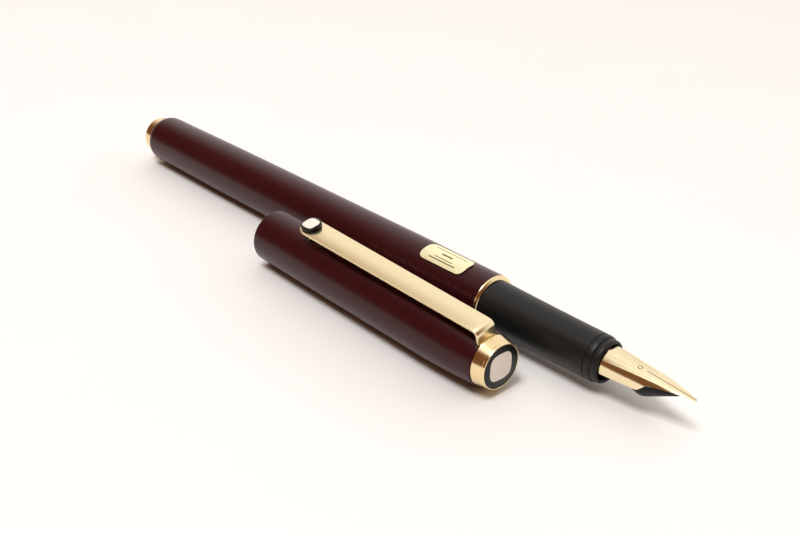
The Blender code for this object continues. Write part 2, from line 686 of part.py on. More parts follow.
def make_piston(axis):
    """The hollow rod that runs on the lead screw, and the seal on its front."""
    neck = ROD_RADIUS - 0.4 * MM
    sealFront = pistonFront
    outline = [(sealFront - 0.4 * MM, 0), (sealFront - 0.4 * MM, neck), (pistonBack, neck),
               (pistonBack, ROD_RADIUS), (rodBack, ROD_RADIUS), (rodBack, rodBore),
               (rodBoreFront, rodBore), (rodBoreFront, 0)]
    turned("converter_piston_rod", outline, axis, BLACK, INNER_STEPS)

    seal = reservoirBore - RUNNING_GAP / 2
    bore = neck + FIT_GAP
    waist = seal - 0.3 * MM
    back = pistonBack + FIT_GAP
    outline = [(sealFront, seal - 0.3 * MM), (sealFront - 0.4 * MM, seal),
               (sealFront - 0.9 * MM, seal), (sealFront - 1.2 * MM, waist),
               (back + 1.2 * MM, waist), (back + 0.9 * MM, seal), (back, seal),
               (back, bore), (sealFront, bore)]
    turned("converter_piston_seal", outline, axis, CLEAR, INNER_STEPS)


# ---- cap -----------------------------------------------------------------------------------
def make_cap(axis):
    """The lacquered cap tube with its clutch spring and inner liner."""
    hole = BOLT_RADIUS + FIT_GAP
    outline = [(CAP_LENGTH, CROWN_RADIUS)]
    outline += [(2 * CAP_LENGTH - CAP_END_ROUND - along, radius) for along, radius in
                reversed(round_back(CAP_LENGTH - CAP_END_ROUND, CAP_CROWN_END_RADIUS,
                                    CAP_END_ROUND, CROWN_BACK_RADIUS + FIT_GAP))]
    outline += [(0.9 * CAP_LENGTH, CAP_RADIUS - 0.3 * (CAP_RADIUS - CAP_CROWN_END_RADIUS)),
                (0.8 * CAP_LENGTH, CAP_RADIUS), (0.3 * CAP_LENGTH, CAP_RADIUS)]
    outline += [(CAP_EDGE, CAP_MOUTH_RADIUS), (0.3 * CAP_EDGE, CAP_MOUTH_RADIUS - 0.3 * CAP_EDGE),
                (0, CAP_MOUTH_RADIUS - CAP_EDGE), (0, capBore), (capWallFront, capBore),
                (capWallFront, hole), (CAP_LENGTH, hole)]
    tube = turned("cap_tube", outline, axis, BURGUNDY)
    combine(tube, make_notch(axis), "DIFFERENCE")

    clutchOuter = capBore - FIT_GAP
    clutchInner = clutchOuter - CLUTCH_WALL
    front = CLUTCH_START + CLUTCH_LENGTH
    outline = [(front, clutchOuter), (CLUTCH_START, clutchOuter),
               (CLUTCH_START, clutchInner), (front, clutchInner)]
    turned("cap_clutch_ring", outline, axis, STEEL)

    wall = linerEnd - LINER_END_WALL
    outline = [(linerEnd, 0), (linerEnd, linerOuter), (LINER_START, linerOuter),
               (LINER_START, linerInner), (wall, linerInner), (wall, 0)]
    turned("cap_liner", outline, axis, BLACK)


def make_notch(axis):
    """The cutter for the slot in the cap's end that the clip's root sits in."""
    half = CLIP_ROOT_WIDTH / 2 + RUNNING_GAP
    low = CLIP_ROOT_DEPTH - RUNNING_GAP
    outline = [(low, -half), (2 * CAP_RADIUS, -half), (2 * CAP_RADIUS, half), (low, half)]
    points = [(-height, side) for height, side in outline]
    depth = 2 * (CAP_LENGTH - notchBack)
    matrix = Matrix.Rotation(CLIP_ROLL, 4, "Z") @ Matrix.Translation((0, 0, CAP_LENGTH))
    return flat_solid("clip_notch", points, depth, axis, matrix, guideCollection)


def make_crown(axis):
    """The gilt crown ring, its bolt, nut and washer, and the black disc with its inlay."""
    hole = BOLT_RADIUS + FIT_GAP
    edge = 0.08 * MM
    outline = [(crownFront, CROWN_RADIUS - edge), (crownFront - edge, CROWN_RADIUS),
               (crownBack, CROWN_BACK_RADIUS), (crownBack, hole), (crownFloor, hole),
               (crownFloor, CROWN_RADIUS - CROWN_RIM), (crownFront, CROWN_RADIUS - CROWN_RIM)]
    turned("crown_ring", outline, axis, GOLD)

    boltBack = nutBack + 0.2 * MM
    outline = [(boltHeadFront, 0), (boltHeadFront, BOLT_HEAD_RADIUS),
               (crownFloor + FIT_GAP, BOLT_HEAD_RADIUS), (crownFloor + FIT_GAP, BOLT_RADIUS),
               (boltBack, BOLT_RADIUS), (boltBack, 0)]
    turned("crown_bolt", outline, axis, STEEL, INNER_STEPS)

    outline = [(nutFront, NUT_RADIUS), (nutBack, NUT_RADIUS), (nutBack, hole), (nutFront, hole)]
    turned("crown_nut", outline, axis, BRASS, INNER_STEPS)

    outline = [(washerFront, WASHER_RADIUS), (washerBack, WASHER_RADIUS),
               (washerBack, hole), (washerFront, hole)]
    turned("crown_washer", outline, axis, STEEL, INNER_STEPS)

    make_inlaid_disc("crown_disc", "crown_inlay", discRadius, INLAY_RADIUS, DISC_THICKNESS,
                     Matrix.Translation((0, 0, discFront)), axis)


def make_inlaid_disc(name, inlay_name, radius, inlay_radius, thickness, matrix, axis):
    """A black disc whose face is at the matrix, with a pillow-shaped ivory inlay let into it."""
    disc = cylinder(name, radius, -thickness, 0, axis, partsCollection, matrix, OUTER_STEPS)
    paint(disc, *GLOSS_BLACK)
    cutter = flat_solid(name + "_pocket", pillow(inlay_radius + FIT_GAP),
                        2 * (INLAY_THICKNESS + FIT_GAP), axis, matrix, guideCollection)
    combine(disc, cutter, "DIFFERENCE")
    seat = matrix @ Matrix.Translation((0, 0, -INLAY_THICKNESS / 2))
    inlay = flat_solid(inlay_name, pillow(inlay_radius), INLAY_THICKNESS, axis, seat,
                       partsCollection)
    paint(inlay, *IVORY)
    return disc


def pillow(radius, count=24):
    """Outline of a square with bowed sides and round corners."""
    points = []
    for i in range(count):
        turn = 2 * pi * i / count
        reach = (abs(cos(turn)) ** INLAY_SQUARENESS + abs(sin(turn)) ** INLAY_SQUARENESS)
        reach = radius / reach ** (1 / INLAY_SQUARENESS)
        points.append((reach * cos(turn), reach * sin(turn)))
    return points


# ---- clip ----------------------------------------------------------------------------------
def clip_height(along):
    """Height of the clip's outer face over the cap's axis."""
    share = (along - CLIP_START) / (clipTabFront - CLIP_START)
    return CLIP_TIP_HEIGHT + (CLIP_ROOT_HEIGHT - CLIP_TIP_HEIGHT) * share


def make_clip(hinge, hinge_height, hinge_along):
    """The sprung clip: its side view, kept only inside its plan view."""
    back = Matrix.Translation((hinge_height, 0, -hinge_along))
    slope = atan2(CLIP_TIP_HEIGHT - CLIP_ROOT_HEIGHT, clipTabFront - CLIP_START)
    innerBend = CLIP_BEND - CLIP_THICKNESS
    centre = (clipTabFront - CLIP_BEND, clip_height(clipTabFront - CLIP_BEND) - CLIP_BEND)
    side = [(CLIP_START, clip_height(CLIP_START)), (CLIP_START, CLIP_TIP_HEIGHT - CLIP_THICKNESS)]
    side += arc(centre, innerBend, pi / 2 - slope, 0, 5)
    side += [(clipTabFront - CLIP_THICKNESS, CLIP_ROOT_DEPTH), (clipTabFront, CLIP_ROOT_DEPTH)]
    side += arc(centre, CLIP_BEND, 0, pi / 2 - slope, 6)
    clip = flat_solid("clip", side, 2 * CLIP_TIP_WIDTH, hinge, back @ side_plane(), partsCollection)

    tip = CLIP_TIP_WIDTH / 2
    root = CLIP_ROOT_WIDTH / 2
    plan = arc((CLIP_START + tip, 0), tip, pi / 2, 3 * pi / 2, 13)
    plan += [(clipTabFront + 1 * MM, -root), (clipTabFront + 1 * MM, root)]
    middle = (CLIP_TIP_HEIGHT + CLIP_ROOT_DEPTH) / 2
    matrix = back @ plan_plane(middle)
    shape = flat_solid("clip_plan", plan, 2 * CLIP_TIP_HEIGHT, hinge, matrix, guideCollection)
    combine(clip, shape, "INTERSECT")

    upright = back @ plan_plane(0.0, buttonCentre)
    hole = cylinder("clip_hole", BUTTON_STEM_RADIUS + FIT_GAP, CLIP_ROOT_DEPTH,
                    2 * CLIP_TIP_HEIGHT, hinge, guideCollection, upright, 16)
    combine(clip, hole, "DIFFERENCE")
    paint(clip, *GOLD)
    make_button(hinge, back)


def make_button(hinge, back):
    """The black button on the clip's free end, and the pad on its stem that touches the cap."""
    seat = clip_height(buttonCentre - BUTTON_RADIUS) + FIT_GAP
    face = seat + BUTTON_THICKNESS
    matrix = back @ plan_plane(face, buttonCentre)
    disc = make_inlaid_disc("clip_button", "clip_button_inlay", BUTTON_RADIUS,
                            BUTTON_INLAY_RADIUS, BUTTON_THICKNESS, matrix, hinge)
    padTop = clip_height(buttonCentre + PAD_RADIUS) - CLIP_THICKNESS - FIT_GAP
    padFoot = CAP_RADIUS + 2 * FIT_GAP
    stem = cylinder("button_stem", BUTTON_STEM_RADIUS, padFoot + 0.3 * MM,
                    face - BUTTON_THICKNESS / 2, hinge, guideCollection,
                    back @ plan_plane(0.0, buttonCentre), 16)
    combine(disc, stem, "UNION")

    bore = BUTTON_STEM_RADIUS + FIT_GAP
    outline = [(padTop, bore), (padTop, PAD_RADIUS), (padFoot + 0.4 * MM, PAD_RADIUS),
               (padFoot, 0.6 * PAD_RADIUS), (padFoot, 0), (padFoot + 0.2 * MM, 0),
               (padFoot + 0.2 * MM, bore)]
    pad = turned("clip_pad", outline, hinge, GOLD, 16)
    pad.matrix_local = back @ plan_plane(0.0, buttonCentre)


# ---- assembly ------------------------------------------------------------------------------
def stand_on_origin(roots, parts):
    """Move the set so that the middle of its box is over the origin and it stands on Z = 0."""
    bpy.context.view_layer.update()
    graph = bpy.context.evaluated_depsgraph_get()
    corners = []
    for item in parts:
        whole = item.evaluated_get(graph)
        mesh = whole.to_mesh()
        corners += [whole.matrix_world @ vertex.co for vertex in mesh.vertices]
        whole.to_mesh_clear()
    low = Vector([min(corner[i] for corner in corners) for i in range(3)])
    high = Vector([max(corner[i] for corner in corners) for i in range(3)])
    shift = Vector(((low.x + high.x) / 2, (low.y + high.y) / 2, low.z))
    for root in roots:
        root.location -= shift


clear_scene()
partsCollection = make_collection(COLLECTION_NAME)
guideCollection = make_collection("cutters")

penAxis = add_empty("pen_axis", (0, 0, BARREL_BELLY_RADIUS), (0, pi / 2, 0))
drawAxis = add_empty("barrel_draw_axis", (0, 0, 0), (0, 0, 0), penAxis)
turnAxis = add_empty("barrel_turn_axis", (0, 0, 0), (0, 0, 0), drawAxis)
converterAxis = add_empty("converter_axis", (0, 0, 0), (0, 0, 0), penAxis)
knobAxis = add_empty("knob_axis", (0, 0, 0), (0, 0, 0), converterAxis)
pistonAxis = add_empty("piston_axis", (0, 0, 0), (0, 0, 0), converterAxis)
capAxis = add_empty("cap_axis", (*CAP_MOUTH_OFFSET, CAP_RADIUS), (0, pi / 2, CAP_HEADING))

make_section(penAxis)
make_nib(penAxis)
make_feed(penAxis)
make_trim_ring(drawAxis)
make_barrel(turnAxis)
make_converter(converterAxis)
make_knob(knobAxis)
make_piston(pistonAxis)
make_cap(capAxis)
make_crown(capAxis)

hingeHeight = CROWN_RADIUS
hingeAlong = clipTabFront - CLIP_THICKNESS / 2
hingePlace = Matrix.Rotation(CLIP_ROLL, 4, "Z") @ Vector((-hingeHeight, 0, hingeAlong))
clipHinge = add_empty("clip_hinge", hingePlace, (0, 0, CLIP_ROLL), capAxis)
make_clip(clipHinge, hingeHeight, hingeAlong)

stand_on_origin([penAxis, capAxis], list(partsCollection.objects))
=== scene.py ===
import json
from math import atan2, cos, pi, radians, sin, sqrt

import bpy
from mathutils import Matrix, Vector


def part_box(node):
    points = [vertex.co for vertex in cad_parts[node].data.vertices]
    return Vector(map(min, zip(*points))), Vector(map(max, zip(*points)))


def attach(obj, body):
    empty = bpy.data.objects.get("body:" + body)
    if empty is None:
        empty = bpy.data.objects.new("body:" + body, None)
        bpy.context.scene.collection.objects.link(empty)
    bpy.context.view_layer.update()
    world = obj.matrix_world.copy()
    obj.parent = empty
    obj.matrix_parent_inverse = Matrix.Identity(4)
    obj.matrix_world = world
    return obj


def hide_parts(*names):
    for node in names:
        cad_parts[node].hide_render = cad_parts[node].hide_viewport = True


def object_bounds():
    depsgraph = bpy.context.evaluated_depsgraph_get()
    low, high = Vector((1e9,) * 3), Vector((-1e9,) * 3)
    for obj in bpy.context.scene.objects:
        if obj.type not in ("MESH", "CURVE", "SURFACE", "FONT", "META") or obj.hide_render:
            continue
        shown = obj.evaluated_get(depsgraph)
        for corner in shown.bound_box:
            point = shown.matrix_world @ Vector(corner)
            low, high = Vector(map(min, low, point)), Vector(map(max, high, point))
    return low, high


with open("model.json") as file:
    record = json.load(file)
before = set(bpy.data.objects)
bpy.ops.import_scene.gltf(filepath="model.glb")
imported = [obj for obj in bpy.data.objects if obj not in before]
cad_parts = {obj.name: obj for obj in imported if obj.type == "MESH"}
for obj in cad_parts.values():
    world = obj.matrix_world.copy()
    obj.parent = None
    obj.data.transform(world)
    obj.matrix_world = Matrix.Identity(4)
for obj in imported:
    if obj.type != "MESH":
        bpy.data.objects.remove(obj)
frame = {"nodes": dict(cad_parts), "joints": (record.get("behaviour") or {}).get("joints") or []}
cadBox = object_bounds()
mm = 0.001
print("frame loaded:", len(frame["nodes"]), "nodes")


# places, all read from the frame
joints = {joint["name"]: joint for joint in frame["joints"]}
penPoint = Vector(joints["knob_turn"]["pos_m"])
capWay = Vector(joints["cap_slide"]["axis"]).normalized()


def axisPlace(point, way):
    # Z runs along the piece, X points up and Y towards the cap's side
    up = Vector((0, 0, 1))
    side = way.cross(up)
    place = Matrix((up, side, way)).transposed().to_4x4()
    place.translation = point
    return place


linerLow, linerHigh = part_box("cap_liner")
penPlace = axisPlace(Vector((0, penPoint.y, penPoint.z)), Vector((1, 0, 0)))
capPlace = axisPlace((linerLow + linerHigh) / 2, capWay)


def cadPoints(name, place):
    inverse = place.inverted()
    return [inverse @ vertex.co for vertex in frame["nodes"][name].data.vertices]


def span(name, place):
    along = [point.z for point in cadPoints(name, place)]
    return min(along), max(along)


def reach(name, place, low=None, high=None):
    # smallest and largest radius about the axis, between two stations
    found = [sqrt(p.x * p.x + p.y * p.y) for p in cadPoints(name, place)
             if (low is None or p.z >= low - 1e-6) and (high is None or p.z <= high + 1e-6)]
    return min(found), max(found)


def rollOf(name, place, low=None):
    # which way round the axis a piece faces
    points = [p for p in cadPoints(name, place) if low is None or p.z > low]
    return atan2(sum(p.y for p in points), sum(p.x for p in points))


# modelling helpers
def nothingSelected():
    bpy.ops.object.select_all(action="DESELECT")


def settle(item, name, place):
    # puts the piece in its place with the place kept in its mesh
    item.name = name
    item.data.name = name
    bpy.ops.object.transform_apply(location=True, rotation=True, scale=True)
    item.matrix_world = place
    bpy.ops.object.transform_apply(location=True, rotation=True, scale=True)
    return item


def tidyMesh(fillEnds=False):
    bpy.ops.mesh.select_all(action="SELECT")
    bpy.ops.mesh.remove_doubles(threshold=1e-6)
    if fillEnds:
        bpy.ops.mesh.fill_holes(sides=0)
        bpy.ops.mesh.select_all(action="SELECT")
    bpy.ops.mesh.normals_make_consistent(inside=False)
    bpy.ops.object.mode_set(mode="OBJECT")


def latheTurned(name, outline, place, steps=112, soft=28):
    # a circle is extruded from station to station and scaled to each radius
    solid = outline[0][1] == 0
    points = outline[1:-1] if solid else outline + outline[:1]
    nothingSelected()
    bpy.ops.mesh.primitive_circle_add(vertices=steps, radius=points[0][1],
                                      fill_type="NGON" if solid else "NOTHING",
                                      location=(0, 0, points[0][0]))
    item = bpy.context.object
    bpy.ops.object.mode_set(mode="EDIT")
    bpy.ops.mesh.select_all(action="SELECT")
    for (along, radius), (nextAlong, nextRadius) in zip(points, points[1:]):
        bpy.ops.mesh.extrude_region_move(
            TRANSFORM_OT_translate={"value": (0, 0, nextAlong - along)})
        if nextRadius != radius:
            factor = nextRadius / radius
            bpy.ops.transform.resize(value=(factor, factor, 1),
                                     center_override=(0, 0, nextAlong))
    tidyMesh()
    settle(item, name, place)
    bpy.ops.object.shade_smooth_by_angle(angle=radians(soft))
    return item


def gridShaped(name, along, across, shape, place, closed=False, soft=35):
    # a grid from -1 to 1 both ways, each of whose corners is moved by the shape
    nothingSelected()
    bpy.ops.mesh.primitive_grid_add(x_subdivisions=along, y_subdivisions=across, size=2)
    item = bpy.context.object
    for vertex in item.data.vertices:
        vertex.co = shape(vertex.co.x, vertex.co.y)
    bpy.ops.object.mode_set(mode="EDIT")
    tidyMesh(closed)
    settle(item, name, place)
    bpy.ops.object.shade_smooth_by_angle(angle=radians(soft))
    return item


def giveWall(item, thickness, bevel=0.0, soft=35):
    wall = item.modifiers.new("wall", "SOLIDIFY")
    wall.thickness = thickness
    wall.offset = -1
    wall.use_even_offset = True
    bpy.ops.object.modifier_apply(modifier=wall.name)
    if bevel:
        edge = item.modifiers.new("edge", "BEVEL")
        edge.width = bevel
        edge.segments = 2
        edge.limit_method = "ANGLE"
        edge.angle_limit = radians(50)
        bpy.ops.object.modifier_apply(modifier=edge.name)
    bpy.ops.object.shade_smooth_by_angle(angle=radians(soft))


def arcPoints(centreAlong, centreRadius, size, start, end, count):
    # stations along an arc, angles counted from the piece's front towards its outside
    turns = [start + (end - start) * i / (count - 1) for i in range(count)]
    return [(centreAlong + size * cos(t), centreRadius + size * sin(t)) for t in turns]


def ease(amount):
    amount = min(max(amount, 0.0), 1.0)
    return amount * amount * (3 - 2 * amount)


def place(item, body, slotName, finish, *nodes):
    item.data.materials.clear()
    item.data.materials.append(finish)
    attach(item, body)
    if nodes:
        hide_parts(*nodes)
    return item


# finishes
def colour(code):
    # an sRGB hex value as linear light
    parts = [int(code[i:i + 2], 16) / 255 for i in (1, 3, 5)]
    return [p / 12.92 if p <= 0.04045 else ((p + 0.055) / 1.055) ** 2.4 for p in parts] + [1]


def addNode(tree, kind, settings=None, links=None):
    made = tree.nodes.new(kind)
    for key, value in (settings or {}).items():
        if isinstance(key, str) and hasattr(made, key):
            setattr(made, key, value)
        else:
            made.inputs[key].default_value = value
    for key, socket in (links or {}).items():
        tree.links.new(socket, made.inputs[key])
    return made


def newFinish(name, settings):
    finish = bpy.data.materials.new(name)
    finish.use_nodes = True
    shader = finish.node_tree.nodes["Principled BSDF"]
    for key, value in settings.items():
        shader.inputs[key].default_value = value
    return finish, finish.node_tree, shader


def surfaced(name, settings, base, deep, cloudSize, grainSize, grainDepth, rough,
             stretch=(1, 1, 1)):
    # base colour and roughness drift a little, and a fine grain is a bump
    finish, tree, shader = newFinish(name, settings)
    spot = addNode(tree, "ShaderNodeTexCoord")
    laid = addNode(tree, "ShaderNodeMapping", {"Scale": stretch},
                   {"Vector": spot.outputs["Object"]})
    cloud = addNode(tree, "ShaderNodeTexNoise", {"Scale": 1 / cloudSize, "Detail": 4.0},
                    {"Vector": laid.outputs["Vector"]})
    grain = addNode(tree, "ShaderNodeTexNoise", {"Scale": 1 / grainSize, "Detail": 3.0},
                    {"Vector": laid.outputs["Vector"]})
    tones = addNode(tree, "ShaderNodeMix", {"data_type": "RGBA", 6: colour(base), 7: colour(deep)},
                    {0: cloud.outputs["Fac"]})
    tree.links.new(tones.outputs[2], shader.inputs["Base Color"])
    level = addNode(tree, "ShaderNodeMapRange",
                    {"From Min": 0.3, "From Max": 0.7, "To Min": rough[0], "To Max": rough[1]},
                    {"Value": grain.outputs["Fac"]})
    tree.links.new(level.outputs["Result"], shader.inputs["Roughness"])
    bump = addNode(tree, "ShaderNodeBump", {"Strength": 1.0, "Distance": grainDepth},
                   {"Height": grain.outputs["Fac"]})
    tree.links.new(bump.outputs["Normal"], shader.inputs["Normal"])
    return finish, tree, shader, spot, tones, level


# sprayed burgundy lacquer over a brass tube: nearly black head on, a dusky sheen at the edges
burgundyLacquer = surfaced("sprayed_burgundy_lacquer",
                           {"IOR": 1.36},
                           "#380a0f", "#31080c", 6 * mm, 0.22 * mm, 0.004 * mm, (0.26, 0.32))[0]
# gold plate on polished brass: cream where it mirrors white, brown where it mirrors dark
goldPlate = surfaced("polished_gold_plate", {"Metallic": 1.0},
                     "#f8e4b6", "#f4dcaa", 3 * mm, 0.3 * mm, 0.0012 * mm, (0.13, 0.19))[0]
# the clip's top is brushed along its length before plating, so it mirrors as one even tone
goldBrushed = surfaced("brushed_gold_plate", {"Metallic": 1.0},
                       "#faebc2", "#f7e5b8", 3 * mm, 0.12 * mm, 0.0012 * mm, (0.22, 0.28),
                       (0.06, 1, 1))[0]
# moulded matte resin of the grip: soft grey sheen with a fine mould grain
matteResin = surfaced("moulded_matte_resin", {"IOR": 1.36}, "#1b1b19", "#151514", 4 * mm,
                      0.16 * mm, 0.005 * mm, (0.36, 0.44))[0]
# the grip's resin with a coarser mould grain, on the feed and the converter; its colour is darkened
# with painted shade, for the feed lying in the nib's shadow
feedResinPaintedShade = surfaced("feed_resin_painted_shade", {"IOR": 1.3}, "#0c0a09", "#080706", 2 * mm,
                     0.2 * mm, 0.006 * mm, (0.34, 0.42))[0]
# polished black resin of the crown and button, with faint buffing marks
glossResin = surfaced("polished_black_resin", {"IOR": 1.36}, "#0b0f0f", "#070a0a", 1.5 * mm,
                      0.08 * mm, 0.001 * mm, (0.14, 0.24))[0]
# cast ivory resin: warm white with faint cream clouds
ivoryResin = surfaced("cast_ivory_resin", {"IOR": 1.5, "Subsurface Weight": 0.08,
                                           "Subsurface Scale": 0.6 * mm},
                      "#f6ebde", "#efe2d3", 0.8 * mm, 0.1 * mm, 0.001 * mm, (0.28, 0.36))[0]
# turned stainless steel: fine lathe lines round the axis
turnedSteel = surfaced("turned_steel", {"Metallic": 1.0}, "#c4c4c6", "#b0b0b3", 1.2 * mm,
                       0.14 * mm, 0.003 * mm, (0.2, 0.3), (1, 0.12, 0.12))[0]
# turned brass with the slight brown of age
turnedBrass = surfaced("turned_brass", {"Metallic": 1.0}, "#d2a95c", "#b98f48", 1.2 * mm,
                       0.14 * mm, 0.003 * mm, (0.24, 0.34), (1, 0.12, 0.12))[0]
# injection-moulded clear styrene of the reservoir, with faint flow lines
clearStyrene = surfaced("moulded_clear_styrene", {"IOR": 1.57, "Transmission Weight": 1.0},
                        "#eef3f4", "#e4ebed", 2 * mm, 0.3 * mm, 0.001 * mm, (0.04, 0.08),
                        (0.1, 1, 1))[0]
# softer silicone of the piston's seal
milkySilicone = surfaced("moulded_milky_silicone", {"IOR": 1.42, "Transmission Weight": 0.3},
                         "#d8dcdd", "#ccd1d3", 1 * mm, 0.12 * mm, 0.002 * mm, (0.35, 0.45))[0]
print("finishes made")


# finishes with a drawn pattern
def lineMask(tree, value, middle, halfWidth):
    # 1 on a line where the value is near its middle, 0 elsewhere
    off = addNode(tree, "ShaderNodeMath", {"operation": "SUBTRACT", 1: middle}, {0: value})
    size = addNode(tree, "ShaderNodeMath", {"operation": "ABSOLUTE"}, {0: off.outputs[0]})
    return addNode(tree, "ShaderNodeMapRange",
                   {"From Min": halfWidth * 0.6, "From Max": halfWidth, "To Min": 1, "To Max": 0},
                   {"Value": size.outputs[0]}).outputs["Result"]


def between(tree, value, low, high):
    # 1 from low to high
    above = addNode(tree, "ShaderNodeMath", {"operation": "GREATER_THAN", 1: low}, {0: value})
    below = addNode(tree, "ShaderNodeMath", {"operation": "LESS_THAN", 1: high}, {0: value})
    return addNode(tree, "ShaderNodeMath", {"operation": "MULTIPLY"},
                   {0: above.outputs[0], 1: below.outputs[0]}).outputs[0]


def join(tree, first, second, how):
    return addNode(tree, "ShaderNodeMath", {"operation": how},
                   {0: first, 1: second}).outputs[0]


def markDark(tree, shader, tones, mask, dark):
    # the pattern is drawn dark over the plain finish
    marked = addNode(tree, "ShaderNodeMix", {"data_type": "RGBA", 7: colour(dark)},
                     {0: mask, 6: tones.outputs[2]})
    tree.links.new(marked.outputs[2], shader.inputs["Base Color"])


def foilFinish():
    # pale gold foil with a few plain printed rules across it
    finish, tree, shader, spot, tones, level = surfaced(
        "printed_gold_foil", {"Metallic": 0.6}, "#fdf8d0", "#fbf3c2", 1.5 * mm, 0.15 * mm,
        0.004 * mm, (0.3, 0.4))
    parts = addNode(tree, "ShaderNodeSeparateXYZ", None, {0: spot.outputs["UV"]})
    rows = None
    for middle, halfWidth, low, high in labelRules["rules"]:
        line = join(tree, lineMask(tree, parts.outputs[1], middle, halfWidth),
                    between(tree, parts.outputs[0], low, high), "MULTIPLY")
        rows = line if rows is None else join(tree, rows, line, "MAXIMUM")
    markDark(tree, shader, tones, rows, "#6d5a2c")
    return finish


# barrel
barrelLook = {"mouthRadius": 4.43 * mm, "backRadius": 4.43 * mm, "backRound": 1.5 * mm,
              "backEdge": 3.65 * mm, "wall": 0.46 * mm, "backWall": 1.8 * mm,
              "hole": 1.46 * mm, "fullFrom": 0.26, "fullTo": 0.78, "stations": 40,
              "edge": 0.06 * mm}
endCapLook = {"spigot": 1.4 * mm, "gap": 0.06 * mm, "edge": 0.05 * mm, "round": 0.35 * mm,
              "dimple": 0.3 * mm}


def makeBarrel():
    look = barrelLook
    back, mouth = span("barrel_tube", penPlace)
    belly = reach("barrel_tube", penPlace)[1] - 0.01 * mm
    length = mouth - back
    edge = look["edge"]
    outline = [(mouth, look["mouthRadius"] - edge), (mouth - edge, look["mouthRadius"])]
    for i in range(1, look["stations"]):
        share = 1 - i / look["stations"]
        along = back + look["backRound"] + (length - look["backRound"]) * share
        if share > look["fullTo"]:
            swell = ease((1 - share) / (1 - look["fullTo"]))
        else:
            swell = ease(share / look["fullFrom"]) if share < look["fullFrom"] else 1
        outline.append((along, look["mouthRadius"] + (belly - look["mouthRadius"]) * swell))
    for i in range(11):
        turn = pi / 2 * i / 10
        outline.append((back + look["backRound"] * (1 - sin(turn)),
                        look["backEdge"] + (look["backRadius"] - look["backEdge"]) * cos(turn)))
    bore = look["mouthRadius"] - look["wall"]
    inside = back + look["backWall"]
    outline += [(back, look["hole"]), (inside, look["hole"]), (inside, bore), (mouth, bore)]
    tube = latheTurned("lacquered_barrel", outline, penPlace)
    place(tube, "barrel", "burgundy_lacquer", burgundyLacquer, "barrel_tube")

    look = endCapLook
    start, end = span("barrel_end_cap", penPlace)
    wide = reach("barrel_end_cap", penPlace)[1]
    seat = back - look["gap"]
    outline = [(end, 0), (end, look["spigot"]), (seat, look["spigot"]),
               (seat, wide - look["edge"]), (seat - look["edge"], wide)]
    outline += arcPoints(start + look["round"], wide - look["round"], look["round"],
                         pi / 2, pi, 8)
    outline += [(start, look["dimple"]), (start, 0)]
    cap = latheTurned("gilt_end_cap", outline, penPlace)
    place(cap, "barrel", "gilt", goldPlate, "barrel_end_cap")


# the bevel runs back from the front face: how far, and at what radius
ringLook = {"flange": 0.5 * mm, "skirt": 3.87 * mm, "edge": 0.03 * mm,
            "bevel": [(0, 3.94 * mm), (0.02 * mm, 4.06 * mm), (0.1 * mm, 4.17 * mm),
                      (0.22 * mm, 4.29 * mm), (0.34 * mm, 4.385 * mm)],
            "bevelEnd": 0.42 * mm, "bevelDrop": 0.005 * mm}


def makeTrimRing():
    look = ringLook
    back, front = span("barrel_trim_ring", penPlace)
    bore, wide = reach("barrel_trim_ring", penPlace)
    flange = front - look["flange"]
    skirt = look["skirt"]
    outline = [(front - away, radius) for away, radius in look["bevel"]]
    outline += [(front - look["bevelEnd"], wide - look["bevelDrop"]),
                (flange + look["edge"], wide), (flange, wide - look["edge"]), (flange, skirt),
                (back, skirt), (back, bore), (front, bore)]
    ring = latheTurned("gilt_trim_ring", outline, penPlace, 128)
    place(ring, "barrel_ring", "gilt", goldPlate, "barrel_trim_ring")


# label
labelRules = {"corner": 1.1 * mm, "thickness": 0.05 * mm,
              "rules": [(0.8, 0.03, 0.2, 0.8), (0.68, 0.022, 0.3, 0.7), (0.45, 0.05, 0.38, 0.62),
                        (0.2, 0.022, 0.14, 0.86)]}


def makeLabel():
    low, high = span("barrel_label", penPlace)
    radius = reach("barrel_label", penPlace)[1] - 0.003 * mm
    points = cadPoints("barrel_label", penPlace)
    facing = rollOf("barrel_label", penPlace)
    turned = Matrix.Rotation(-facing, 3, "Z")
    half = max(abs((turned @ p).y) for p in points)
    middle, reachAlong, corner = (low + high) / 2, (high - low) / 2, labelRules["corner"]

    def shape(u, v):
        along = reachAlong * u
        into = max(abs(along) - (reachAlong - corner), 0)
        side = half - corner + sqrt(max(corner * corner - into * into, 0))
        angle = facing + side * v / radius
        return Vector((radius * cos(angle), radius * sin(angle), middle + along))

    label = gridShaped("foil_label", 60, 16, shape, penPlace)
    giveWall(label, labelRules["thickness"])
    place(label, "barrel", "gilt", foilFinish(), "barrel_label")


# section, housing, nib and feed
gripLook = {"back": 3.82 * mm, "front": 3.47 * mm, "bead": 0.95 * mm,
            "groove": 0.2 * mm, "grooveDepth": 0.1 * mm, "drop": 0.3 * mm,
            "webBack": 4 * mm, "webFront": 6 * mm, "webHole": 1.26 * mm, "gap": 0.06 * mm}
housingLook = {"round": 0.45 * mm, "lip": 1 * mm, "shank": 2.95 * mm}


